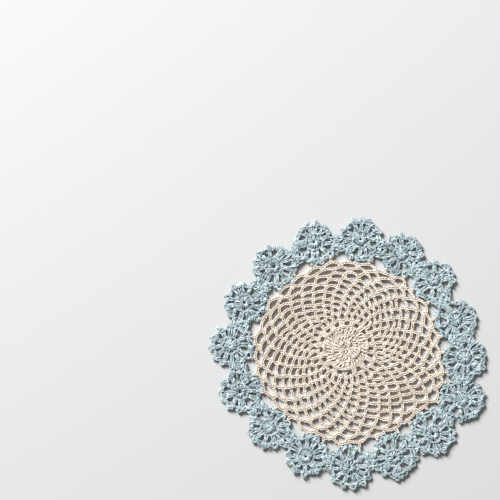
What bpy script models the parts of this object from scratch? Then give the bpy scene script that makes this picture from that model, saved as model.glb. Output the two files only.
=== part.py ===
"""A crocheted cotton doily, laid flat.

An ecru net of chain loops is ringed by sixteen pale blue flower motifs. Each
flower is joined to its two neighbours and to two tips of the net. The origin
is the middle of the net's underside, +Z is up and +Y is the far side.
Compass angles run clockwise from +Y, seen from above.
"""

import math

import bmesh
import bpy

MM = 0.001
GAP = 0.3 * MM             # between one piece and the next

# Net: a raised disc of dense stitches, then rounds of loops out to the tips
NET_THICKNESS = 1.8 * MM
STRETCH_START = 8.6 * MM   # radius from which the rounds stretch with the rim
LOOPS = 32                 # loops in each round, so 32 tips
POST_WIDTH = 2.6 * MM      # stitch that ties one loop to the loop before it
TIP_WIDTH = 1.5 * MM
TIP_BASE = 0.972           # share at which a tip leaves the last chain
VALLEY_DIP = 0.010         # dip of the last chain between two tips, as a share
# Columns of loops turn a little faster on one side of the net than on the other
COLUMN_START = -13.6
COLUMN_SWAY = 6.5
SWAY_START = 48.3

# Rounds of loops whose gaps are cut, from the middle out. CHAIN is where the
# round's chain runs, as a share of the way from STRETCH_START to the tips.
# STRAND is the chain's width in mm. LEAN is where along a loop the next round
# is tied, and COLUMN is the column of the round's first gap.
#    CHAIN  STRAND  LEAN  COLUMN
ROUNDS = (
    (0.303, 1.8, 0.27, -0.77),
    (0.382, 1.8, 0.27, -0.50),
    (0.449, 1.7, 0.23, -0.23),
    (0.517, 1.6, 0.24, 0.00),
    (0.591, 1.4, 0.31, 0.24),
    (0.663, 1.4, 0.29, 0.55),
    (0.733, 1.3, 0.26, 0.84),
    (0.809, 1.3, 0.39, 1.10),
    (0.882, 1.3, 0.51, 1.49),
    (0.955, 1.3, 0.50, 2.00),
)

# Flowers, clockwise from the far side. ANGLE and DISTANCE place the hub, TURN
# turns its inward line away from the net's middle, REACH is from hub to joins
# and PETAL is in degrees from the inward line to the nearest petal.
#    ANGLE  DISTANCE  TURN  REACH  PETAL
FLOWERS = (
    (7.7, 78.5, -4.3, 16.9, 1.6),
    (30.8, 78.4, -9.6, 16.3, 6.4),
    (52.3, 79.9, -11.8, 17.0, -1.0),
    (75.9, 81.5, -7.8, 16.2, 4.8),
    (94.8, 85.9, -16.1, 16.8, -0.5),
    (114.1, 91.7, -4.4, 17.0, -2.8),
    (134.7, 88.0, 6.0, 20.0, 5.2),
    (156.1, 86.4, 5.5, 19.2, -11.8),
    (178.3, 86.3, 1.3, 17.1, -8.8),
    (200.3, 83.5, 1.8, 17.5, 14.9),
    (224.0, 79.6, -1.5, 16.4, 3.6),
    (247.6, 82.7, -0.9, 16.9, -9.3),
    (271.0, 83.1, 2.4, 19.3, -8.0),
    (293.9, 80.0, -3.4, 18.5, -1.8),
    (318.4, 78.5, 1.0, 17.5, -8.5),
    (343.1, 79.3, -3.0, 18.0, -2.1),
)

# Flower: twelve petals between a raised hub and a rim of pointed picots
PETALS = 12
JOIN_SPREAD = 24.0         # degrees from a flower's inward line to each join
WEB_SPREAD = 19.0          # half the angle over which neighbours are joined
PICOT_RADIUS = 15.5 * MM   # hub to a picot's point
NOTCH_RADIUS = 13.3 * MM   # hub to the dip between two picots
INNER_CLEARANCE = 0.8 * MM # from the rim's inner arch to the net's last chain
RIM_HEIGHT = 1.6 * MM

# Upper faces as rings round a middle, in mm: RADIUS, then the height on a
# stitch or petal (RIDGE) and in the slit beside it (SLIT)
FLOWER_CROWN = 2.4
#    RADIUS  RIDGE  SLIT
FLOWER_RINGS = (
    (4.5, 2.3, 2.1),
    (5.3, 1.2, 1.0),
    (8.0, 2.2, 0.9),
    (11.0, 1.9, 1.1),
)
DISC_CROWN = 2.0
DISC_STITCHES = 16
#    RADIUS  RIDGE  SLIT
DISC_RINGS = (
    (4.0, 2.3, 2.1),
    (4.8, 2.0, 1.9),
    (9.0, 2.4, 2.1),
    (10.0, 2.0, 1.9),
    (14.0, 2.3, 2.0),
)
DISC_EDGE = 14.8
DISC_FOOT = 0.9            # the disc's own underside, hidden in the net

ECRU = (0.61, 0.53, 0.45, 1.0)
BLUE = (0.33, 0.41, 0.43, 1.0)


def compass(angle, radius, middle=(0.0, 0.0)):
    """Point at a compass angle in degrees and a radius from a middle."""
    turn = math.radians(angle)
    return middle[0] + radius * math.sin(turn), middle[1] + radius * math.cos(turn)


def bearing(origin, target):
    """Compass angle from one point to another, and their distance."""
    across, up = target[0] - origin[0], target[1] - origin[1]
    return math.degrees(math.atan2(across, up)), math.hypot(across, up)


def half_turn(angle):
    """The same angle, brought between -180 and 180 degrees."""
    return (angle + 180.0) % 360.0 - 180.0


def between(low, high, share):
    """Value a share of the way from low to high."""
    return low + (high - low) * share


# --- where the flowers and the net's tips lie ------------------------------

def hub_point(index):
    """Middle of a flower, counted round the ring."""
    angle, distance, _, _, _ = FLOWERS[index % len(FLOWERS)]
    return compass(angle, distance * MM)


def tip_point(index):
    """Tip of the net: each flower holds two, either side of its inward line."""
    flower, side = divmod((index - 1) % LOOPS, 2)
    angle, _, turn, reach, _ = FLOWERS[flower]
    swing = JOIN_SPREAD if side == 0 else -JOIN_SPREAD
    return compass(angle + 180.0 + turn + swing, reach * MM, hub_point(flower))


def column_angle(column):
    """Compass angle of a column of loops, before the rim's own unevenness."""
    even = column * 360.0 / LOOPS
    return COLUMN_START + even + COLUMN_SWAY * math.sin(math.radians(even + SWAY_START))


def tip_stray(index):
    """How far a tip strays in angle from its column, and its radius."""
    angle, radius = bearing((0.0, 0.0), tip_point(index))
    return half_turn(angle - column_angle(index)), radius


TIPS = [tip_stray(index) for index in range(LOOPS)]
RIM_RADIUS = sum(radius for _, radius in TIPS) / LOOPS


def net_point(column, share):
    """Point of the net: share 0 is where the stretch starts, 1 is at the tips.

    The rounds stretch evenly between the two, and the tips' stray in angle
    fades towards the middle with the cube of the share.
    """
    whole = math.floor(column)
    stray_low, radius_low = TIPS[whole % LOOPS]
    stray_high, radius_high = TIPS[(whole + 1) % LOOPS]
    stray = between(stray_low, stray_high, column - whole) * share ** 3
    rim = between(radius_low, radius_high, column - whole)
    return compass(column_angle(column) + stray, between(STRETCH_START, rim, share))


def as_share(length):
    """A length along a radius of the net, as a share of the stretch."""
    return length / (RIM_RADIUS - STRETCH_START)


def as_columns(length, share):
    """A length along a round of the net, in columns."""
    return length * LOOPS / math.tau / between(STRETCH_START, RIM_RADIUS, share)


# --- making meshes -----------------------------------------------------------

def cotton(name, colour):
    """Matt cotton."""
    material = bpy.data.materials.new(name)
    material.use_nodes = True
    shader = material.node_tree.nodes["Principled BSDF"]
    shader.inputs["Base Color"].default_value = colour
    shader.inputs["Roughness"].default_value = 0.9
    shader.inputs["Metallic"].default_value = 0.0
    return material


def plate(name, outlines, thickness, material, collection):
    """Flat plate: the first outline is its edge, the others are holes."""
    curve = bpy.data.curves.new(name + "_outline", "CURVE")
    curve.dimensions = "2D"
    curve.fill_mode = "BOTH"
    curve.extrude = thickness / 2
    for outline in outlines:
        spline = curve.splines.new("POLY")
        spline.points.add(len(outline) - 1)
        for point, (x, y) in zip(spline.points, outline):
            point.co = (x, y, 0.0, 1.0)
        spline.use_cyclic_u = True
    drawn = bpy.data.objects.new(name + "_outline", curve)
    drawn.location.z = thickness / 2
    collection.objects.link(drawn)
    bpy.context.view_layer.update()
    evaluated = drawn.evaluated_get(bpy.context.evaluated_depsgraph_get())
    mesh = bpy.data.meshes.new_from_object(evaluated)
    body = bmesh.new()
    body.from_mesh(mesh)
    bmesh.ops.remove_doubles(body, verts=body.verts, dist=0.001 * MM)
    bmesh.ops.recalc_face_normals(body, faces=body.faces)
    body.to_mesh(mesh)
    body.free()
    mesh.name = name
    mesh.materials.clear()
    mesh.materials.append(material)
    piece = bpy.data.objects.new(name, mesh)
    piece.matrix_world = drawn.matrix_world.copy()
    collection.objects.link(piece)
    bpy.data.objects.remove(drawn)
    return piece


def ringed(name, crown, rings, collection, material=None):
    """Closed solid of rings of points round a crown, closed under the last ring."""
    body = bmesh.new()
    top = body.verts.new(crown)
    rings = [[body.verts.new(point) for point in ring] for ring in rings]
    count = len(rings[0])
    for step in range(count):
        after = (step + 1) % count
        body.faces.new((top, rings[0][after], rings[0][step]))
        for inner, outer in zip(rings, rings[1:]):
            body.faces.new((inner[step], inner[after], outer[after], outer[step]))
    body.faces.new(rings[-1])
    bmesh.ops.recalc_face_normals(body, faces=body.faces)
    bmesh.ops.triangulate(body, faces=body.faces)
    mesh = bpy.data.meshes.new(name)
    body.to_mesh(mesh)
    body.free()
    if material:
        mesh.materials.append(material)
    piece = bpy.data.objects.new(name, mesh)
    collection.objects.link(piece)
    return piece


def relief(table, headings, middle):
    """Rings of a relief table: ridges on even headings and slits on odd ones."""
    rings = []
    for radius, ridge, slit in table:
        ring = []
        for step, heading in enumerate(headings):
            height = ridge if step % 2 == 0 else slit
            ring.append((*compass(heading, radius * MM, middle), height * MM))
        rings.append(ring)
    return rings


# --- the net -----------------------------------------------------------------

def net_gap(inner, outer, index):
    """Gap under one loop: a post at either side, a chain above and below.

    The loop is highest where the next round is tied to it.
    """
    low, low_strand, _, _ = inner
    high, high_strand, lean, column = outer
    bottom = low + as_share(low_strand * MM / 2)
    top = high - as_share(high_strand * MM / 2)
    side = as_columns(POST_WIDTH / 2, (low + high) / 2)
    left = column + index - 0.5 + side
    right = column + index + 0.5 - side
    tie = between(left, right, lean)
    corner = between(bottom, top, 0.25)
    return [
        net_point(left, corner),
        net_point(between(left, right, 0.3), bottom),
        net_point(between(left, right, 0.8), bottom),
        net_point(right, corner),
        net_point(between(tie, right, 0.4), top),
        net_point(between(left, tie, 0.5), top),
    ]


def net_valley(column):
    """Outer side of the last chain where it dips between two tips."""
    share, strand, _, _ = ROUNDS[-1]
    return net_point(column, share + as_share(strand * MM / 2) - VALLEY_DIP)


def net_edge():
    """Outer edge of the net: the last chain, with a blunt point at each tip."""
    edge = []
    half = as_columns(TIP_WIDTH / 2, 1.0)
    for index in range(LOOPS):
        edge.append(net_valley(index - 0.5))
        edge.append(net_point(index - 2.2 * half, TIP_BASE))
        edge.append(net_point(index - half, 1.0))
        edge.append(net_point(index + half, 1.0))
        edge.append(net_point(index + 2.2 * half, TIP_BASE))
    return edge


def make_net(collection, cutters):
    """Net with its gaps cut through, and the dense disc raised in its middle."""
    outlines = [net_edge()]
    for inner, outer in zip(ROUNDS, ROUNDS[1:]):
        outlines += [net_gap(inner, outer, index) for index in range(LOOPS)]
    ecru = cotton("ecru_cotton", ECRU)
    net = plate("net", outlines, NET_THICKNESS, ecru, collection)
    headings = [step * 180.0 / DISC_STITCHES for step in range(2 * DISC_STITCHES)]
    rings = relief(DISC_RINGS, headings, (0.0, 0.0))
    for height in (NET_THICKNESS / MM - 0.2, DISC_FOOT):
        rings += relief([(DISC_EDGE, height, height)], headings, (0.0, 0.0))
    disc = ringed("dense_disc", (0.0, 0.0, DISC_CROWN * MM), rings, cutters)
    disc.hide_render = True
    disc.display_type = "WIRE"
    union = net.modifiers.new("dense_disc", "BOOLEAN")
    union.operation = "UNION"
    union.object = disc


# --- a flower ----------------------------------------------------------------

def flower_edge(index):
    """Edge of a flower as compass angles and radii, two to a petal.

    Picots at the petals' ends and the dips between them take turns. The two
    nearest to the joins are drawn out to the net's tips, and those between the
    joins stay clear of its last chain. Where a neighbour is near, the edge runs
    along the line halfway between the two hubs.
    """
    angle, _, turn, reach, petal = FLOWERS[index]
    hub = hub_point(index)
    inward = angle + 180.0 + turn
    neighbours = [bearing(hub, hub_point(index + step)) for step in (-1, 1)]
    chain = bearing(hub, net_valley(2 * index + 1.5))[1]
    joins = {}
    for swing in (-JOIN_SPREAD, JOIN_SPREAD):
        joins[round((swing - petal) * PETALS / 180.0) % (2 * PETALS)] = swing
    edge = []
    for step in range(2 * PETALS):
        swing = half_turn(petal + step * 180.0 / PETALS)
        radius = PICOT_RADIUS if step % 2 == 0 else NOTCH_RADIUS
        if step in joins:
            swing = joins[step]
            radius = reach * MM - 1.5 * GAP
        elif abs(swing) < JOIN_SPREAD:
            radius = min(radius, chain - INNER_CLEARANCE)
        for toward, distance in neighbours:
            across = half_turn(inward + swing - toward)
            if abs(across) >= 80.0:
                continue
            shared = (distance - GAP) / 2 / math.cos(math.radians(across))
            radius = shared if abs(across) < WEB_SPREAD else min(radius, shared)
        edge.append((inward + swing, radius))
    return edge


def make_flower(index, material, collection):
    """Flower with a raised hub, a groove round it, petals and a scalloped rim."""
    hub = hub_point(index)
    edge = flower_edge(index)
    rings = relief(FLOWER_RINGS, [heading for heading, _ in edge], hub)
    for height in (RIM_HEIGHT, 0.0):
        rings.append([(*compass(*point, hub), height) for point in edge])
    crown = (*hub, FLOWER_CROWN * MM)
    return ringed(f"flower_{index + 1:02d}", crown, rings, collection, material)


def main():
    for old in list(bpy.data.objects):
        bpy.data.objects.remove(old)
    doily = bpy.data.collections.new("crocheted_doily")
    cutters = bpy.data.collections.new("joined_shapes")
    for collection in (doily, cutters):
        bpy.context.scene.collection.children.link(collection)
    make_net(doily, cutters)
    blue = cotton("blue_cotton", BLUE)
    for index in range(len(FLOWERS)):
        make_flower(index, blue, doily)


main()
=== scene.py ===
import math

import bpy
import numpy as np
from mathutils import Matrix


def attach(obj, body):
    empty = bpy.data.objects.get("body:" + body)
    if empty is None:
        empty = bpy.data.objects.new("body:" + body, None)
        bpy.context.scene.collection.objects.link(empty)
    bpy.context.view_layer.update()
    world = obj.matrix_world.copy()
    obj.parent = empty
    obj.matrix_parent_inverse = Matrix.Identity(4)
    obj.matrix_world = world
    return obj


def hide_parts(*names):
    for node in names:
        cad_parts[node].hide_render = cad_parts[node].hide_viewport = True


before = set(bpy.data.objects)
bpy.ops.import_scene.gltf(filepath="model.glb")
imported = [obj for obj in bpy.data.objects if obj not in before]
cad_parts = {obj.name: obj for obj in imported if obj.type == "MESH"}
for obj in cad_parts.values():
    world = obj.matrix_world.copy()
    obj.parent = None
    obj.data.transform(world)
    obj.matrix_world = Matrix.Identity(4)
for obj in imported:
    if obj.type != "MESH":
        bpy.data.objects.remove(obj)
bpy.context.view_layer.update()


# --- the floor -----------------------------------------------------------------------
# A plain table top of pale laminate, wide enough to fill the view. The doily lies
# flat on it, and nothing holds it.


def linear(code):
    """Linear colour from an sRGB hex value, by the sRGB curve."""
    shown = np.array([int(code[place:place + 2], 16) / 255.0 for place in (0, 2, 4)])
    light = np.where(shown <= 0.04045, shown / 12.92, ((shown + 0.055) / 1.055) ** 2.4)
    return (*light.tolist(), 1.0)


far = 2.0                  # metres from the doily's middle to the floor's edges
floor_mesh = bpy.data.meshes.new("floor")
floor_mesh.from_pydata(
    [(-far, -far, 0.0), (far, -far, 0.0), (far, far, 0.0), (-far, far, 0.0)], [], [(0, 1, 2, 3)])
floor = bpy.data.objects.new("floor", floor_mesh)
bpy.context.scene.collection.objects.link(floor)

# Laminate, pressed with a matt face: one even tone, with a wide and faint reflection
pale_laminate = bpy.data.materials.new("pale_matt_laminate")
pale_laminate.use_nodes = True
face = pale_laminate.node_tree.nodes["Principled BSDF"]
face.inputs["Base Color"].default_value = linear("DEDEDE")
face.inputs["Roughness"].default_value = 0.85
floor_mesh.materials.append(pale_laminate)


# --- the net's rounds of chain -------------------------------------------------------
# Ecru mercerised cotton, crocheted from the middle out. Each round is a chain
# with 32 loops: a loop rises from one post, turns over at its peak, where the
# next round is tied, and slopes down to the next post.

# Lengths here and below are in mm, and angles in degrees, unless a comment says more
MM = 0.001                 # metres
LOOPS = 32
LOOP_POINTS = 24           # of a chain's centre line, from one post to the next
THREAD = 1.0               # thickness of the ecru thread
THREAD_SIDES = 5
THREAD_END = 0.6           # thickness at a thread's open end, as a share of the full
STITCH_PITCH = 2.2         # from one chain stitch to the next
STITCH_POINTS = 10
STITCH_LENGTH = 1.5        # in pitches: a stitch's head lies round the next one's foot
STITCH_FOOT = 0.2          # width at a stitch's foot, as a share of the full
NET_HEIGHT = 1.15          # of a chain's middle above the table
STRETCH_START = 8.6        # radius from which the rounds stretch with the rim
DISC_SHARE = 0.11          # share of the way out where the first round's row starts
JOIN_SPREAD = 24.0         # from a flower's inward line to each join
BACK_THREAD = 1.45         # thickness of the plain strand on a chain's back
BACK_DROP = 0.3            # of that strand below the chain's middle
BACK_LOWEST = 0.75
# Columns of loops turn a little faster on one side of the net than on the other,
# draw together beside one column and drift a little ahead at another.
COLUMN_START = -13.6
COLUMN_SWAY = 6.5
SWAY_START = 48.3
DRAWN, DRAWN_SPREAD, DRAWN_TO = 5.5, 24.0, 100.0
DRIFT, DRIFT_SPREAD, DRIFT_AT = 2.5, 28.0, 228.0

# Flowers, clockwise from the far side. ANGLE and DISTANCE place the hub, TURN
# turns its inward line away from the net's middle, REACH is from hub to joins,
# PETAL is the angle from the inward line to the nearest petal, RIM is from hub to
# the outer picots' ends, and HOLE is the radius of the hole left in the hub.
#    ANGLE  DISTANCE  TURN  REACH  PETAL  RIM  HOLE
FLOWERS = (
    (7.7, 78.5, -4.3, 17.3, 1.6, 16.0, 0.5),
    (30.8, 78.4, -9.6, 17.2, 6.4, 15.3, 0.0),
    (52.3, 79.9, -11.8, 17.7, -1.0, 15.0, 0.0),
    (75.9, 81.5, -7.8, 16.7, 4.8, 15.5, 0.0),
    (94.8, 85.9, -16.1, 17.5, -0.5, 15.8, 0.0),
    (114.1, 91.7, -4.4, 18.4, -2.8, 16.1, 0.0),
    (134.7, 88.0, 6.0, 19.2, 5.2, 16.2, 1.0),
    (156.1, 86.4, 5.5, 19.2, -11.8, 16.2, 0.8),
    (178.3, 86.3, 1.3, 17.7, -8.8, 16.2, 0.4),
    (200.3, 83.5, 1.8, 18.0, 14.9, 14.6, 0.6),
    (224.0, 79.6, -1.5, 15.4, 3.6, 16.1, 0.0),
    (247.6, 82.7, -0.9, 16.9, -9.3, 15.4, 1.3),
    (271.0, 83.1, 2.4, 18.1, -8.0, 15.8, 0.0),
    (293.9, 80.0, -3.4, 17.0, -1.8, 15.1, 0.8),
    (318.4, 78.5, 1.0, 18.0, -8.5, 15.4, 1.4),
    (343.1, 79.3, -3.0, 17.5, -2.1, 15.1, 0.6),
)

# Rounds of chain from the dense disc out. CHAIN is where the chain's peaks run,
# as a share of the way from STRETCH_START to the tips, LEAN is how far along a
# loop its peak is, COLUMN is the column of the first loop, and SAG is how far
# the chain drops to its posts, as a share of the height of its row.
#    CHAIN  LEAN  COLUMN  SAG
ROUNDS = (
    (0.206, 0.50, -1.08, 0.10),
    (0.316, 0.27, -0.77, 0.40),
    (0.395, 0.27, -0.50, 0.70),
    (0.464, 0.23, -0.23, 0.80),
    (0.533, 0.24, 0.00, 0.90),
    (0.608, 0.31, 0.24, 0.90),
    (0.680, 0.29, 0.55, 0.90),
    (0.750, 0.26, 0.84, 0.90),
    (0.831, 0.39, 1.10, 0.77),
    (0.901, 0.51, 1.49, 0.55),
    (0.974, 0.50, 2.00, 0.50),
)


def compass(angle, radius, middle=(0.0, 0.0)):
    """Points at compass angles, clockwise from +Y, and radii from a middle."""
    turn = np.radians(angle)
    return middle[0] + radius * np.sin(turn), middle[1] + radius * np.cos(turn)


def half_turn(angle):
    """The same angles, brought between -180 and 180 degrees."""
    return (angle + 180.0) % 360.0 - 180.0


def column_angle(column):
    """Angle of a column: even steps, plus a sway of one sine wave to the turn.

    A bell curve times the distance from DRAWN_TO pulls columns towards it, and a
    bell curve round DRIFT_AT moves them on.
    """
    even = column * 360.0 / LOOPS
    angle = COLUMN_START + even + COLUMN_SWAY * np.sin(np.radians(even + SWAY_START))
    near = half_turn(angle - DRAWN_TO) / DRAWN_SPREAD
    ahead = half_turn(angle - DRIFT_AT) / DRIFT_SPREAD
    return angle - DRAWN * near * np.exp(-near ** 2 / 2.0) + DRIFT * np.exp(-ahead ** 2 / 2.0)


# Each flower holds two tips of the net, one either side of its inward line
flowers = np.array(FLOWERS)
hubs = np.stack(compass(flowers[:, 0], flowers[:, 1]), -1)
tip_number = np.arange(LOOPS)
tip_flower = (tip_number - 1) % LOOPS // 2
tip_swing = np.where((tip_number - 1) % 2 == 0, JOIN_SPREAD, -JOIN_SPREAD)
tip_turn = flowers[tip_flower, 0] + 180.0 + flowers[tip_flower, 2] + tip_swing
tips = np.stack(compass(tip_turn, flowers[tip_flower, 3], hubs[tip_flower].T), -1)
tip_radius = np.hypot(tips[:, 0], tips[:, 1])
tip_angle = np.degrees(np.arctan2(tips[:, 0], tips[:, 1]))
tip_stray = half_turn(tip_angle - column_angle(tip_number))


def net_point(column, share):
    """Points of the net by column and by share of the way out to the tips.

    The radius goes evenly from STRETCH_START to the tip's. The angle is the
    column's plus the tip's stray from it, times the cube of the share.
    """
    whole = np.floor(column).astype(int)
    part = column - whole
    low, high = whole % LOOPS, (whole + 1) % LOOPS
    stray = tip_stray[low] * (1.0 - part) + tip_stray[high] * part
    rim = tip_radius[low] * (1.0 - part) + tip_radius[high] * part
    radius = STRETCH_START + (rim - STRETCH_START) * share
    return compass(column_angle(column) + stray * share ** 3, radius)


def uneven(rng, count, waves, size):
    """Unevenness round a closed line: a sum of sine waves, with one turn, two and so on.

    Each has a random start and a random weight, and the sum's usual size is size.
    """
    place = np.arange(count) / count
    turns = np.arange(1, waves + 1)[:, None]
    weight = rng.normal(size=(waves, 1)) / math.sqrt(waves / 2)
    start = rng.uniform(0.0, math.tau, (waves, 1))
    return size * (weight * np.sin(math.tau * turns * place + start)).sum(0)


# Hand work is uneven: each post stands a little off its place, in columns, each
# loop drops there by a little more or less, and its peak is drawn in or let out
rng = np.random.default_rng(7)
post_shift = rng.normal(0.0, 0.05, (len(ROUNDS), LOOPS))
slack = rng.normal(1.0, 0.18, (len(ROUNDS), LOOPS))
peak = rng.normal(0.0, 0.006, (len(ROUNDS), LOOPS))


def round_path(number, rng):
    """Centre line of one round's chain, as a closed path.

    From its peak the loop drops on either side with the square of the way to
    the post, and a little unevenness is added outwards and upwards.
    """
    chain, lean, column, sag = ROUNDS[number]
    below = ROUNDS[number - 1][0] if number else DISC_SHARE
    place = np.arange(LOOPS * LOOP_POINTS) / LOOP_POINTS
    loop = np.floor(place).astype(int)
    after = (loop + 1) % LOOPS
    within = place - loop
    side = np.where(within < lean, (lean - within) / lean, (within - lean) / (1.0 - lean))
    drop = sag * np.where(within < lean, slack[number, loop], slack[number, after])
    share = chain + peak[number, loop] * (1.0 - side ** 2) - drop * (chain - below) * side ** 2
    share = share + uneven(rng, len(place), waves=48, size=0.004)
    shift = post_shift[number, loop] * (1.0 - within) + post_shift[number, after] * within
    x, y = net_point(column - 0.5 + place + shift, share)
    height = NET_HEIGHT + uneven(rng, len(place), waves=60, size=0.14)
    return np.stack([x, y, height], -1)


def follow(path, distance, closed):
    """Points at distances along a path, straight between its points."""
    if closed:
        path = np.vstack([path, path[:1]])
    steps = np.linalg.norm(np.diff(path, axis=0), axis=1)
    reach = np.concatenate([[0.0], np.cumsum(steps)])
    if closed:
        distance = distance % reach[-1]
    return np.stack([np.interp(distance, reach, path[:, axis]) for axis in range(3)], -1)


def chain(path, pitch, width, lift, closed=True):
    """Chain stitches along a path, each a closed teardrop of thread.

    Going round a stitch, the way along is half of one minus the cosine, times
    STITCH_LENGTH. The way across is the sine times a width that grows from the
    foot to the head, and it is lifted by a half sine over the stitch before.
    """
    looped = np.vstack([path, path[:1]]) if closed else path
    length = np.linalg.norm(np.diff(looped, axis=0), axis=1).sum()
    if closed:
        count = max(3, round(length / pitch))
        pitch = length / count
    else:
        overlap = STITCH_LENGTH - 1.0
        count = max(1, round(length / pitch - overlap))
        pitch = length / (count + overlap)
    turn = np.arange(STITCH_POINTS) * math.tau / STITCH_POINTS
    along = (1.0 - np.cos(turn)) / 2.0
    across = np.sin(turn) * (STITCH_FOOT + (1.0 - STITCH_FOOT) * along) * width / 2.0
    distance = (np.arange(count)[:, None] + STITCH_LENGTH * along) * pitch
    middle = follow(path, distance, closed)
    step = 0.3             # either way along the path, to find its direction
    ahead = follow(path, distance + step, closed) - follow(path, distance - step, closed)
    sideways = np.stack([-ahead[..., 1], ahead[..., 0]], -1)
    sideways /= np.linalg.norm(sideways, axis=-1, keepdims=True) + 1e-9
    rings = middle.copy()
    rings[..., :2] += sideways * across[:, None]
    rings[..., 2] += lift * np.sin(math.pi * along)
    return rings


def thread(paths, thickness, level=(0.0, 0.0, 1.0), top=0.25, closed=False):
    """Thread swept along many paths at once, as corners, faces and UVs.

    At each point the corners lie on a circle, by cosine along the direction at
    right angles to path and level, and by sine along the one at right angles to
    both. The UV is the length along the thread and the turn round it, which is
    shifted to be a quarter where the thread faces up. That is at the turn top.
    The cotton's material paints shade on the thread's underside from this turn.
    """
    count, points, _ = paths.shape
    ahead = np.roll(paths, -1, 1) - np.roll(paths, 1, 1)
    if not closed:
        ahead[:, 0] = paths[:, 1] - paths[:, 0]
        ahead[:, -1] = paths[:, -1] - paths[:, -2]
    ahead /= np.linalg.norm(ahead, axis=-1, keepdims=True) + 1e-9
    side = np.cross(ahead, np.broadcast_to(level, ahead.shape))
    side /= np.linalg.norm(side, axis=-1, keepdims=True) + 1e-9
    up = np.cross(side, ahead)
    turn = np.arange(THREAD_SIDES) * math.tau / THREAD_SIDES
    circle = side[:, :, None] * np.cos(turn)[:, None] + up[:, :, None] * np.sin(turn)[:, None]
    radius = np.full(points, thickness / 2.0)
    if not closed:
        radius[[0, -1]] *= THREAD_END
    corners = paths[:, :, None] + circle * radius[:, None, None]

    spans = points if closed else points - 1
    first = np.arange(count)[:, None] * points * THREAD_SIDES
    here = np.arange(spans)[:, None]
    after = (here + 1) % points
    around = np.arange(THREAD_SIDES)
    beside = (around + 1) % THREAD_SIDES
    quads = np.stack(
        [here * THREAD_SIDES + around, after * THREAD_SIDES + around,
         after * THREAD_SIDES + beside, here * THREAD_SIDES + beside], -1)
    quads = (first[..., None, None] + quads).reshape(-1, 4)
    step = np.linalg.norm(np.roll(paths, -1, 1) - paths, axis=-1)
    reach = np.concatenate([np.zeros((count, 1)), np.cumsum(step, 1)], 1)
    one = np.broadcast_to(around / THREAD_SIDES + 0.25 - top, (count, spans, THREAD_SIDES))
    two = one + 1.0 / THREAD_SIDES
    near = np.broadcast_to(reach[:, :spans, None], one.shape)
    far = np.broadcast_to(reach[:, 1:spans + 1, None], one.shape)
    uv = np.stack([near, one, far, one, far, two, near, two], -1).reshape(-1, 4, 2)

    caps = np.zeros((0, THREAD_SIDES), int)
    if not closed:
        start = first + around
        end = first + (points - 1) * THREAD_SIDES + around[::-1]
        caps = np.vstack([start, end])
    return corners.reshape(-1, 3), quads, uv, caps


def joined(name, threads, material, carrier):
    """One piece in metres from many threads in mm, which stands for a solid of the frame."""
    offsets = np.cumsum([0] + [len(part[0]) for part in threads])
    corners = np.vstack([part[0] for part in threads]) * MM
    quads = np.vstack([part[1] + offset for part, offset in zip(threads, offsets)])
    caps = np.vstack([part[3] + offset for part, offset in zip(threads, offsets)])
    uv = np.vstack([part[2] for part in threads]).reshape(-1, 2)
    uv = np.vstack([uv, np.zeros((caps.size, 2))])
    starts = np.concatenate(
        [np.arange(len(quads)) * 4, quads.size + np.arange(len(caps)) * THREAD_SIDES])
    mesh = bpy.data.meshes.new(name)
    mesh.vertices.add(len(corners))
    mesh.vertices.foreach_set("co", corners.ravel())
    mesh.loops.add(quads.size + caps.size)
    mesh.loops.foreach_set("vertex_index", np.concatenate([quads.ravel(), caps.ravel()]))
    mesh.polygons.add(len(starts))
    mesh.polygons.foreach_set("loop_start", starts)
    mesh.polygons.foreach_set("use_smooth", np.ones(len(starts), bool))
    mesh.uv_layers.new(name="thread").data.foreach_set("uv", uv.ravel())
    mesh.update(calc_edges=True)
    mesh.materials.append(material)
    piece = bpy.data.objects.new(name, mesh)
    bpy.context.scene.collection.objects.link(piece)
    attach(piece, "root")
    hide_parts(carrier)
    return piece


def node(material, kind, inputs, **settings):
    """Adds a node with its settings, and its inputs by value or by link."""
    tree = material.node_tree
    made = tree.nodes.new(kind)
    for name, value in settings.items():
        setattr(made, name, value)
    for name, value in inputs.items():
        if isinstance(value, bpy.types.NodeSocket):
            tree.links.new(value, made.inputs[name])
        else:
            made.inputs[name].default_value = value
    return made


# Mercerised cotton, spun and twisted from three plies, then wound tight: matt
# with a soft sheen, and not quite the same tone from one stretch of thread to the
# next. Its colour also carries painted shade: a little darker in the grooves between
# plies, and darker on the thread's underside. The plies of the real thread turn
# about once in 1.5 mm. They are drawn at 2.2 mm, to show at all.
PLIES = 3.0
PLY_TURN = 2.2             # length of thread in which the plies turn once
PLY_FLAT = 0.4             # of the sine, above which a ply is at its lightest
PLY_SHARE = 0.4            # of the tone that the plies' painted groove shade gives, and the patches the rest
PATCH = 3.0                # size of a lighter or darker patch
PATCH_LOW, PATCH_HIGH = 0.32, 0.68  # of the noise, where a patch is darkest and lightest
UNDER, ABOVE = -0.2, 0.9   # sines of the turns where the painted shade on a thread's underside starts and ends
UNDER_TONE = 0.1           # share of the tone left where that painted shade is deepest
FIBRE = 0.3                # size of the bumps that fibres make, coarser than they are
FIBRE_SHARE = 0.3          # of their height in that of the grooves between plies
GROOVE = 0.12              # depth of those grooves


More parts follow.
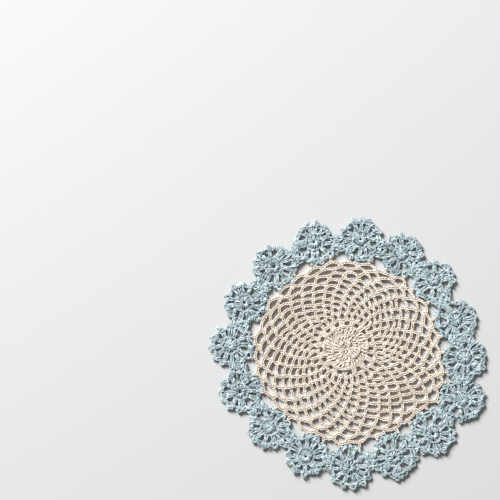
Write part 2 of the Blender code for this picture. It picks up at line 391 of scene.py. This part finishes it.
def twisted_cotton(name, light, dark, contrast):
    """Cotton thread, mixed from its light and dark colours.

    The plies are a sine of the length along the thread and of the turn round it, darker
    in the grooves between them as painted shade, and noise gives the patches. Their
    weighted sum fades from the top to the underside as painted shade, and times the
    contrast it says how light the colour is, from zero to one. Grooves and fibres make
    the bumps.
    """
    material = bpy.data.materials.new(name)
    material.use_nodes = True
    shader = material.node_tree.nodes["Principled BSDF"]
    place = node(material, "ShaderNodeTexCoord", {})
    split = node(material, "ShaderNodeSeparateXYZ", {"Vector": place.outputs["UV"]})
    along = node(material, "ShaderNodeMath", {0: split.outputs["X"], 1: 1.0 / PLY_TURN},
                 operation="MULTIPLY")
    around = node(material, "ShaderNodeMath",
                  {0: split.outputs["Y"], 1: PLIES, 2: along.outputs[0]},
                  operation="MULTIPLY_ADD")
    turns = node(material, "ShaderNodeMath", {0: around.outputs[0], 1: math.tau},
                 operation="MULTIPLY")
    plies = node(material, "ShaderNodeMath", {0: turns.outputs[0]}, operation="SINE")
    # Dark in the grooves between plies: painted shade in the colour, and the grooves of the bump
    ply = node(material, "ShaderNodeMapRange",
               {"Value": plies.outputs[0], "From Min": -1.0, "From Max": PLY_FLAT,
                "To Min": 0.0, "To Max": 1.0})
    noise = node(material, "ShaderNodeTexNoise",
                 {"Vector": place.outputs["Object"], "Scale": 1.0 / (PATCH * MM), "Detail": 4.0,
                  "Roughness": 0.65})
    tone = node(material, "ShaderNodeMapRange",
                {"Value": noise.outputs["Fac"], "From Min": PATCH_LOW,
                 "From Max": PATCH_HIGH, "To Min": 0.0, "To Max": 1.0})
    shade = node(material, "ShaderNodeMath", {0: ply.outputs["Result"], 1: PLY_SHARE},
                 operation="MULTIPLY")
    mixed = node(material, "ShaderNodeMath",
                 {0: tone.outputs["Result"], 1: 1.0 - PLY_SHARE, 2: shade.outputs[0]},
                 operation="MULTIPLY_ADD")
    # Painted shade: the colour darkens from the thread's top to its underside, by the turn round
    # it
    side = node(material, "ShaderNodeMath", {0: split.outputs["Y"], 1: math.tau},
                operation="MULTIPLY")
    upward = node(material, "ShaderNodeMath", {0: side.outputs[0]}, operation="SINE")
    lit = node(material, "ShaderNodeMapRange",
               {"Value": upward.outputs[0], "From Min": UNDER, "From Max": ABOVE,
                "To Min": UNDER_TONE, "To Max": 1.0})
    faced = node(material, "ShaderNodeMath", {0: mixed.outputs[0], 1: lit.outputs["Result"]},
                 operation="MULTIPLY")
    factor = node(material, "ShaderNodeMath", {0: faced.outputs[0], 1: contrast},
                  operation="MULTIPLY")
    colour = node(material, "ShaderNodeMix",
                  {"Factor": factor.outputs[0], 6: linear(dark), 7: linear(light)},
                  data_type="RGBA")
    fibre = node(material, "ShaderNodeTexNoise",
                 {"Vector": place.outputs["Object"], "Scale": 1.0 / (FIBRE * MM), "Detail": 2.0})
    relief = node(material, "ShaderNodeMath",
                  {0: fibre.outputs["Fac"], 1: FIBRE_SHARE, 2: ply.outputs["Result"]},
                  operation="MULTIPLY_ADD")
    bump = node(material, "ShaderNodeBump",
                {"Height": relief.outputs[0], "Strength": 0.4, "Distance": GROOVE * MM})
    links = material.node_tree.links
    links.new(colour.outputs[2], shader.inputs["Base Color"])
    links.new(bump.outputs["Normal"], shader.inputs["Normal"])
    shader.inputs["Roughness"].default_value = 0.7
    shader.inputs["IOR"].default_value = 1.53  # of cellulose
    shader.inputs["Specular IOR Level"].default_value = 0.4
    shader.inputs["Sheen Weight"].default_value = 0.25
    shader.inputs["Sheen Roughness"].default_value = 0.4
    return material


ecru_cotton = twisted_cotton("ecru_mercerised_cotton", "FEF8ED", "C6B29D", 1.0)

stitches = []
backs = []
for number in range(len(ROUNDS)):
    path = round_path(number, rng)
    rings = chain(path, STITCH_PITCH, width=2.3, lift=0.6)
    stitches.append(thread(rings, THREAD, closed=True))
    back = path[None, ::6].copy()
    back[..., 2] = np.maximum(back[..., 2] - BACK_DROP, BACK_LOWEST)
    backs.append(thread(back, BACK_THREAD, closed=True))
net_rounds = joined("net_rounds", stitches, ecru_cotton, "net")
net_backs = joined("net_chain_backs", backs, ecru_cotton, "net")


# --- the net's posts -----------------------------------------------------------------
# Where a loop is tied to the round before it, the same thread makes a tall stitch
# over that chain: twisted pairs of strands side by side.

POST_FOOT = 0.25           # how far inside the chain before it a post starts, and how far
POST_HEAD = 0.15           # outside its own chain's lowest place it ends, in row heights
PAIR_FLAT = 0.7            # height of a twisted pair, as a share of its width
# Pairs of strands of a post, by how far each is beside the post's middle line at
# its foot and at its head. The rows further out have more pairs, and the last has
# two outer pairs that cross over the others.
#    FOOT  HEAD
FIRST_PAIRS = ((-0.5, -0.75), (0.5, 0.75))
POST_PAIRS = ((-0.8, -1.15), (0.0, 0.0), (0.8, 1.15))
WIDE_PAIRS = ((-1.0, -1.6), (0.0, 0.0), (1.0, 1.6))
LAST_PAIRS = ((-1.6, -1.8), (-0.5, -0.6), (0.5, 0.6), (1.6, 1.8), (-2.3, 2.6), (2.3, -2.6))
PAIRS_BY_ROW = (
    FIRST_PAIRS, FIRST_PAIRS, POST_PAIRS, POST_PAIRS, POST_PAIRS,
    POST_PAIRS, POST_PAIRS, WIDE_PAIRS, WIDE_PAIRS, LAST_PAIRS,
)


def twisted_pairs(foot, head, arch, wind, turns, points, phase):
    """Two strands wound round each other from each foot to its head.

    Each follows the straight line, raised by a half sine times the arch, and
    circles it at the distance wind, half a turn from the other strand. The circle
    is pressed to PAIR_FLAT of its height.
    """
    way = np.linspace(0.0, 1.0, points)[:, None]
    line = foot[:, None] + (head - foot)[:, None] * way
    line[..., 2] += arch * np.sin(math.pi * way[:, 0])
    ahead = head - foot
    sideways = np.column_stack([-ahead[:, 1], ahead[:, 0], np.zeros(len(ahead))])
    sideways /= np.linalg.norm(sideways, axis=-1, keepdims=True) + 1e-9
    strands = []
    for half in (0.0, math.pi):
        turn = math.tau * turns * way[:, 0] + phase[:, None] + half
        strand = line + sideways[:, None] * (wind * np.cos(turn))[..., None]
        strand[..., 2] += wind * PAIR_FLAT * np.sin(turn)
        strands.append(strand)
    return np.concatenate(strands)


posts = []
for number in range(1, len(ROUNDS)):
    share, _, column, sag = ROUNDS[number]
    below = ROUNDS[number - 1][0]
    height = share - below
    place = column - 0.5 + np.arange(LOOPS) + post_shift[number]
    feet = np.stack(net_point(place, below - POST_FOOT * height), -1)
    heads = np.stack(net_point(place, share - (sag * slack[number] - POST_HEAD) * height), -1)
    out = heads - feet
    out /= np.linalg.norm(out, axis=-1, keepdims=True)
    beside = np.stack([out[:, 1], -out[:, 0]], -1)
    for foot_side, head_side in PAIRS_BY_ROW[number - 1]:
        foot = np.column_stack([feet + foot_side * beside,
                                NET_HEIGHT + rng.uniform(-0.05, 0.3, LOOPS)])
        head = np.column_stack([heads + head_side * beside,
                                NET_HEIGHT + rng.uniform(-0.15, 0.15, LOOPS)])
        pairs = twisted_pairs(foot, head, arch=0.25, wind=0.36, turns=0.75, points=7,
                              phase=rng.uniform(0.0, 6.0, LOOPS))
        posts.append(thread(pairs, THREAD))
net_posts = joined("net_posts", posts, ecru_cotton, "net")


# --- the dense disc in the middle of the net -----------------------------------------
# The start of the work, in the same cotton: three rounds of tall stitches side by
# side, each with its foot under the heads of the round before. Outside the third
# round the stitches stand in groups, with sixteen small openings between them.

#    INNER  OUTER  STITCHES  SWIRL  TOP   (radii, swirl of a stitch, height of its head)
DISC_ROUNDS = (
    (0.6, 4.4, 9, 22.0, 1.75),
    (4.6, 9.2, 21, 12.0, 1.7),
    (9.4, 15.1, 37, 8.0, 1.55),
)
DISC_THREAD = 1.4          # packed strands spread out, and two look like one
DISC_DROP = 0.35           # of a stitch's foot below its head
DISC_PITCH = 2.3           # from one stitch to the next, in the chains of heads
RING_POINTS = 72
OPENINGS = 16
SPOKE_FOOT = 0.085         # shares of the way out where the spokes between openings
SPOKE_HEAD = 0.205         # start and end
# The pairs of strands on either side of an opening, in columns from its middle
#    FOOT  HEAD
SPOKE_PAIRS = ((0.50, 0.66), (0.80, 0.90))
DISC_BACK_TURNS = 11.0     # of the strand wound round the disc's back
DISC_BACK_START = 0.6      # its radius at the start
DISC_BACK_STEP = 1.24      # from one turn to the next
DISC_BACK_HEIGHT = 0.95
DISC_BACK_THREAD = 1.5

disc = []
for inner, outer, count, swirl, top in DISC_ROUNDS:
    angle = np.arange(count) * 360.0 / count + rng.normal(0.0, 40.0 / count, count)
    high = rng.normal(top, 0.12, count)
    foot = np.stack(
        [*compass(angle, inner + rng.uniform(-0.3, 0.5, count)), high - DISC_DROP], -1)
    head = np.stack([*compass(angle + swirl, outer + rng.uniform(-0.5, 0.5, count)), high], -1)
    pairs = twisted_pairs(foot, head, arch=0.35, wind=0.42, turns=0.75, points=9,
                          phase=rng.uniform(0.0, 6.0, count))
    disc.append(thread(pairs, DISC_THREAD))
    ring = np.linspace(0.0, 360.0, RING_POINTS, endpoint=False)
    radius = outer + 0.2 + uneven(rng, RING_POINTS, waves=9, size=0.45)
    height = top + 0.05 + uneven(rng, RING_POINTS, waves=12, size=0.25)
    circle = np.stack([*compass(ring, radius), height], -1)
    rings = chain(circle, DISC_PITCH, width=1.9, lift=0.55)
    disc.append(thread(rings, THREAD, closed=True))
opening = ROUNDS[0][2] + 2.0 * np.arange(OPENINGS)
for side in (-1.0, 1.0):
    for foot_side, head_side in SPOKE_PAIRS:
        foot = np.stack([*net_point(opening + side * foot_side, SPOKE_FOOT),
                         NET_HEIGHT + rng.uniform(0.1, 0.5, OPENINGS)], -1)
        head = np.stack([*net_point(opening + side * head_side, SPOKE_HEAD),
                         NET_HEIGHT + rng.uniform(-0.1, 0.3, OPENINGS)], -1)
        pairs = twisted_pairs(foot, head, arch=0.4, wind=0.38, turns=0.8, points=7,
                              phase=rng.uniform(0.0, 6.0, OPENINGS))
        disc.append(thread(pairs, THREAD))
net_disc = joined("net_disc", disc, ecru_cotton, "net")

# Below them the feet of the same stitches, wound round the disc's back
turns = np.linspace(0.0, DISC_BACK_TURNS, 400)
spiral = np.stack([*compass(turns * 360.0, DISC_BACK_START + turns * DISC_BACK_STEP),
                   np.full(len(turns), DISC_BACK_HEIGHT)], -1)
disc_back = [thread(spiral[None], DISC_BACK_THREAD)]
net_disc_back = joined("net_disc_back", disc_back, ecru_cotton, "net")


# --- the net's tips ------------------------------------------------------------------
# At each loop of the last round a small loop of the same cotton reaches out, as two
# strands side by side, and is drawn through a flower's edge, which holds it.

TIP_FOOT = 0.968           # share of the way out where a tip starts
TIP_PAST = 2.0             # of a tip's end past the join
TIP_RISE = 0.75            # from its foot, in the last chain, to its end in the edge
TIP_HALF = 0.8             # half of its width at the foot, and how much less
TIP_TAPER = 0.35           # that is at its end
TIP_POINTS = 14

turn = np.arange(TIP_POINTS) * math.tau / TIP_POINTS
along = (1.0 - np.cos(turn)) / 2.0
foot = np.stack(net_point(tip_number, TIP_FOOT), -1)
length = np.linalg.norm(tips - foot, axis=1, keepdims=True)
out = (tips - foot) / length
beside = np.stack([out[:, 1], -out[:, 0]], -1)
wide = np.sin(turn) * (TIP_HALF - TIP_TAPER * along)
loops = foot[:, None] + out[:, None] * (along * (length + TIP_PAST))[..., None]
loops = loops + beside[:, None] * wide[:, None]
rise = NET_HEIGHT + 0.1 + TIP_RISE * along[:, None]
loops = np.concatenate([loops, np.broadcast_to(rise, (LOOPS, TIP_POINTS, 1))], -1)
tip_loops = [thread(loops, THREAD, closed=True)]
net_tips = joined("net_tips", tip_loops, ecru_cotton, "net")


# --- the flowers ---------------------------------------------------------------------
# Pale blue cotton, a little finer. Each flower starts as a ring wrapped with
# stitches, then has twelve petals of long stitches, an edge of chain and twelve
# picots. Two of its picots hold the net's tips, and it is joined to its neighbours.

BLUE_THREAD = 0.74
EDGE = 15.4                # radius of the picots' ends on a flower before it is stretched
EDGE_START = 5.0           # radius from which a flower stretches to its outline
LOWEST = 0.5               # height of the lowest thread's middle above the table
JOIN_SHORT = 0.1           # what a flower stretched to the net's tips stops short of them
JOIN_FULL, JOIN_NONE = 30.0, 56.0  # from the inward line, where it starts to fade and ends
HUB_WRAPS = 21
HUB_THREAD = 0.8
HUB_RADIUS = 5.0           # of the ends of the wraps
HUB_SWIRL = 3.0            # degrees that a wrap turns round the hub in each mm outwards
BLUE_PITCH = 1.9           # from one chain stitch to the next
SHORT_STITCHES = 24        # of the first round
PETALS = 12
FOOT_SPREAD = 8.0          # from one of a petal's three pairs to the next, in degrees
HEAD_SPREAD = 5.2          # round the hub, at the foot and at the head
CROSSINGS = 22             # pairs of strands that cross the edge
# Radii of a flower's rounds before it is stretched: where their stitches start and
# end, and where the chain over them runs
#    FOOT  HEAD  CHAIN
SHORT_FOOT, SHORT_HEAD, SHORT_CHAIN = 4.1, 6.3, 6.0
PETAL_FOOT, PETAL_HEAD, PETAL_CHAIN = 6.1, 11.6, 11.7
EDGE_FOOT, EDGE_HEAD, EDGE_CHAIN = 11.0, 14.2, 13.2
CROSS_FOOT, CROSS_HEAD = 11.0, 13.8
PICOT_FOOT = 13.0
PICOT_HALF = 8.0           # of a picot's turn round the hub, to either side of its petal
PICOT_PITCH = 1.8
# A wrap of the hub: how far each of its points is from hole to end, how high it is,
# and how much lower where the hole is 1 mm in radius
WRAP_OUT = np.array([0.0, 0.03, 0.15, 0.36, 0.57, 0.8, 1.0])
WRAP_RISE = np.array([1.9, 2.1, 2.2, 2.3, 2.25, 1.9, 1.3])
WRAP_DIP = np.array([0.8, 0.4, 0.0, 0.0, 0.0, 0.0, 0.0])
# The web between two flowers, whose joined edges lie on the line halfway
WEB_TURN = 8.0             # from a neighbour's bearing to the middle of the web
WEB_HALF = 40.0            # from that bearing, how far the line halfway is followed
WEB_FULL, WEB_NONE = 16.0, 26.0  # from the web's middle, where it starts to fade and ends
WEB_INNER, WEB_OUTER = 7.9, -4.2  # ends of the web, towards the net from the hubs' line
WEB_OVER = 0.3             # of each edge past the line halfway, so that the two meet
WEB_PAIRS = 8
# Rings on a flower's back, drawn in the darker cotton as painted shade: the radius, and how much
# it waves with the petals. The smallest closes the hub's hole from beneath.
FLOWER_BACKS = ((0.5, 0.0), (4.6, 0.0), (11.9, 0.2), (13.0, 0.35))
FLOWER_BACK_HEIGHT = 0.55
FLOWER_BACK_THREAD = 1.05

blue_cotton = twisted_cotton("blue_mercerised_cotton", "ECFCFE", "365C67", 1.22)
# A darker copy of the same thread for the threads on the underside: painted shade, as they lie
# in the work's own shade, with no bright tops
blue_cotton_in_painted_shade = twisted_cotton("blue_cotton_painted_shade_on_the_back", "66777C", "425055", 1.0)


def blend(distance, full, none):
    """One within the distance full, none from the distance none, a smooth step between."""
    way = np.clip((none - distance) / (none - full), 0.0, 1.0)
    return way * way * (3.0 - 2.0 * way)


def outline(index, heading):
    """How far a flower reaches at each compass heading.

    It is its rim, but stretched to just short of the joins where it faces the net,
    and it ends on the line halfway to a neighbour where the two are worked together.
    """
    angle, _, turn, reach, _, rim, _ = FLOWERS[index]
    swing = np.abs(half_turn(heading - angle - 180.0 - turn))
    edge = rim + (reach - JOIN_SHORT - rim) * blend(swing, JOIN_FULL, JOIN_NONE)
    for step in (-1, 1):
        way = hubs[(index + step) % len(hubs)] - hubs[index]
        across = half_turn(heading - math.degrees(math.atan2(way[0], way[1])))
        slope = np.cos(np.radians(np.clip(across, -WEB_HALF, WEB_HALF)))
        shared = np.hypot(*way) / 2.0 / slope
        web = np.abs(across - step * WEB_TURN)
        edge = edge + (shared + WEB_OVER - edge) * blend(web, WEB_FULL, WEB_NONE)
    return edge


def petal_point(index, heading, radius, height):
    """Points of a flower by compass heading, plain radius and height.

    From EDGE_START out the radius is stretched evenly, so that EDGE comes to the
    flower's outline. No point is lower than LOWEST.
    """
    share = np.clip((radius - EDGE_START) / (EDGE - EDGE_START), 0.0, 1.2)
    x, y = compass(heading, radius + (outline(index, heading) - EDGE) * share, hubs[index])
    return np.stack(np.broadcast_arrays(x, y, np.maximum(height, LOWEST)), -1)


# Random amounts are what hand work leaves, in degrees round the hub and in mm
for index in range(len(FLOWERS)):
    rng = np.random.default_rng(100 + index)
    angle, _, turn, _, petal, _, hole = FLOWERS[index]
    first = angle + 180.0 + turn + petal
    name = f"flower_{index + 1:02d}"

    # The ring in the middle, wrapped with stitches, and the first short round
    heading = first + np.arange(HUB_WRAPS)[:, None] * 360.0 / HUB_WRAPS
    heading = heading + rng.normal(0.0, 3.5, (HUB_WRAPS, 1))
    inner = hole + HUB_THREAD / 2.0
    out = inner + (HUB_RADIUS - inner) * WRAP_OUT
    radius = out * rng.normal(1.0, 0.05, (HUB_WRAPS, 1))
    height = WRAP_RISE - WRAP_DIP * hole + rng.normal(0.0, 0.1, (HUB_WRAPS, 1))
    wraps = petal_point(index, heading + HUB_SWIRL * out, radius, height)
    away = np.stack([*compass(heading + 90.0, 1.0), np.zeros_like(heading)], -1)
    centre = [thread(wraps, HUB_THREAD, level=away, top=0.5)]
    heading = first + np.arange(SHORT_STITCHES) * 360.0 / SHORT_STITCHES
    heading = heading + rng.normal(0.0, 3.0, SHORT_STITCHES)
    foot = petal_point(index, heading, SHORT_FOOT, rng.uniform(0.9, 1.3, SHORT_STITCHES))
    head = petal_point(index, heading + 4.0, SHORT_HEAD, rng.uniform(1.2, 1.7, SHORT_STITCHES))
    pairs = twisted_pairs(foot, head, arch=0.1, wind=0.3, turns=0.5, points=4,
                          phase=rng.uniform(0.0, 6.0, SHORT_STITCHES))
    centre.append(thread(pairs, BLUE_THREAD))
    ring = np.linspace(0.0, 360.0, 48, endpoint=False)
    radius = SHORT_CHAIN + uneven(rng, len(ring), waves=12, size=0.3)
    height = 1.4 + uneven(rng, len(ring), waves=12, size=0.25)
    rings = chain(petal_point(index, ring, radius, height), BLUE_PITCH, width=1.3, lift=0.5)
    centre.append(thread(rings, BLUE_THREAD, closed=True))
    flower_centre = joined(name + "_centre", centre, blue_cotton, name)

    # Twelve petals of three long twisted pairs each, slanted, tied by a wavy chain
    petals = []
    petal_heading = first + np.arange(PETALS) * 360.0 / PETALS + rng.normal(0.0, 4.5, PETALS)
    slant = rng.normal(0.0, 4.0, PETALS)
    for side in (-1.0, 0.0, 1.0):
        heading = petal_heading + side * FOOT_SPREAD + rng.normal(0.0, 1.5, PETALS)
        foot = petal_point(index, heading, PETAL_FOOT, rng.uniform(1.0, 1.5, PETALS))
        heading = petal_heading + slant + side * HEAD_SPREAD + rng.normal(0.0, 1.8, PETALS)
        head = petal_point(index, heading, PETAL_HEAD, rng.uniform(1.0, 1.5, PETALS))
        pairs = twisted_pairs(foot, head, arch=0.45, wind=0.3, turns=0.8, points=7,
                              phase=rng.uniform(0.0, 6.0, PETALS))
        petals.append(thread(pairs, BLUE_THREAD))
    ring = np.linspace(0.0, 360.0, 96, endpoint=False)
    wave = np.cos(np.radians(PETALS * (ring - first)))
    radius = PETAL_CHAIN + 0.2 * wave + uneven(rng, len(ring), waves=18, size=0.35)
    height = 1.25 + uneven(rng, len(ring), waves=18, size=0.25)
    rings = chain(petal_point(index, ring, radius, height), BLUE_PITCH, width=1.35, lift=0.5)
    petals.append(thread(rings, BLUE_THREAD, closed=True))
    flower_petals = joined(name + "_petals", petals, blue_cotton, name)

    # The edge: a wavier chain, pairs that spread to either side of each petal,
    # and more that cross them
    radius = EDGE_CHAIN + 0.35 * wave + uneven(rng, len(ring), waves=24, size=0.5)
    height = 1.25 + uneven(rng, len(ring), waves=18, size=0.3)
    rings = chain(petal_point(index, ring, radius, height), BLUE_PITCH, width=1.35, lift=0.5)
    edge = [thread(rings, BLUE_THREAD, closed=True)]
    for spread in (-9.0, 9.0):
        radius = EDGE_FOOT + rng.normal(0.0, 0.3, PETALS)
        foot = petal_point(index, petal_heading + 0.3 * spread, radius,
                           rng.uniform(1.2, 1.7, PETALS))
        heading = petal_heading + spread + rng.normal(0.0, 2.0, PETALS)
        radius = EDGE_HEAD + rng.normal(0.0, 0.3, PETALS)
        head = petal_point(index, heading, radius, rng.uniform(1.1, 1.7, PETALS))
        pairs = twisted_pairs(foot, head, arch=0.3, wind=0.32, turns=0.6, points=6,
                              phase=rng.uniform(0.0, 6.0, PETALS))
        edge.append(thread(pairs, BLUE_THREAD))
    heading = first + np.arange(CROSSINGS) * 360.0 / CROSSINGS + rng.normal(0.0, 5.0, CROSSINGS)
    lean = rng.choice([-1.0, 1.0], CROSSINGS) * rng.uniform(5.0, 15.0, CROSSINGS)
    foot = petal_point(index, heading, rng.normal(CROSS_FOOT, 0.6, CROSSINGS),
                       rng.uniform(1.2, 2.1, CROSSINGS))
    head = petal_point(index, heading + lean, rng.normal(CROSS_HEAD, 0.5, CROSSINGS),
                       rng.uniform(1.2, 2.1, CROSSINGS))
    pairs = twisted_pairs(foot, head, arch=0.2, wind=0.32, turns=0.6, points=5,
                          phase=rng.uniform(0.0, 6.0, CROSSINGS))
    edge.append(thread(pairs, BLUE_THREAD))

    # The picots, each a small closed loop of chain that bulges out from the edge
    way = np.linspace(0.0, 1.0, 9)
    for heading in petal_heading:
        bend = heading + rng.normal(0.0, 3.0) + PICOT_HALF * (2.0 * way - 1.0)
        bulge = EDGE - EDGE_CHAIN + rng.normal(0.0, 0.35)
        radius = PICOT_FOOT + bulge * np.sin(math.pi * way) ** 0.8
        path = petal_point(index, bend, radius, 1.2 + rng.uniform(-0.3, 0.4))
        rings = chain(path, PICOT_PITCH, width=1.25, lift=0.45, closed=False)
        edge.append(thread(rings, BLUE_THREAD, closed=True))

    # The web to the next flower: a chain along the line halfway, and pairs across it
    towards = hubs[(index + 1) % len(hubs)] - hubs[index]
    halfway = hubs[index] + towards / 2.0
    towards = towards / np.hypot(*towards)
    inward = np.array([towards[1], -towards[0]])
    place = np.linspace(WEB_INNER, WEB_OUTER, 12)
    stray = uneven(rng, len(place), waves=4, size=0.4)
    line = halfway + inward * place[:, None] + towards * stray[:, None]
    line = np.column_stack([line, 1.4 + uneven(rng, len(place), waves=5, size=0.25)])
    rings = chain(line, BLUE_PITCH, width=1.3, lift=0.5, closed=False)
    edge.append(thread(rings, BLUE_THREAD, closed=True))
    across = rng.uniform(1.8, 3.2, WEB_PAIRS)[:, None] * towards
    slant = inward * rng.uniform(-1.8, 1.8, WEB_PAIRS)[:, None]
    start = halfway + inward * np.linspace(WEB_INNER, WEB_OUTER, WEB_PAIRS)[:, None]
    foot = np.column_stack([start - across - slant, rng.uniform(1.1, 1.9, WEB_PAIRS)])
    head = np.column_stack([start + across + slant, rng.uniform(1.1, 1.9, WEB_PAIRS)])
    pairs = twisted_pairs(foot, head, arch=0.25, wind=0.32, turns=0.7, points=6,
                          phase=rng.uniform(0.0, 6.0, WEB_PAIRS))
    edge.append(thread(pairs, BLUE_THREAD))
    flower_edge = joined(name + "_edge", edge, blue_cotton, name)

    # The feet of the stitches, on the back, in the darker cotton that paints their shade
    backs = []
    for radius, swell in FLOWER_BACKS:
        circle = petal_point(index, ring, radius + swell * wave, FLOWER_BACK_HEIGHT)
        backs.append(thread(circle[None, ::2], FLOWER_BACK_THREAD, closed=True))
    flower_back = joined(name + "_back", backs, blue_cotton_in_painted_shade, name)


# --- light and camera ----------------------------------------------------------------
# A large soft box at the far left, low enough to shade the sides of the thread,
# and an even pale surround. The camera looks straight down from one metre up,
# through a long lens. Places and the box's size are in metres.

box_light = bpy.data.lights.new("soft_box", "AREA")
box_light.shape = "SQUARE"
box_light.size = 1.45
box_light.energy = 365.0
soft_box = bpy.data.objects.new("soft_box", box_light)
across, back, rise = -2.16, 3.05, 1.90
soft_box.location = (across, back, rise)
soft_box.rotation_euler = (
    math.atan2(math.hypot(across, back), rise), 0.0, math.atan2(back, across) + math.pi / 2)
bpy.context.scene.collection.objects.link(soft_box)

surround = bpy.data.worlds.new("pale_surround")
surround.use_nodes = True
surround.node_tree.nodes["Background"].inputs["Color"].default_value = linear("F4F6F8")
surround.node_tree.nodes["Background"].inputs["Strength"].default_value = 0.17
bpy.context.scene.world = surround

lens = bpy.data.cameras.new("camera")
lens.lens = 100.0
lens.sensor_width = 36.0
camera = bpy.data.objects.new("camera", lens)
camera.location = (-0.06912, 0.07023, 1.0)
bpy.context.scene.collection.objects.link(camera)
bpy.context.scene.camera = camera
bpy.context.scene.view_settings.view_transform = "Standard"
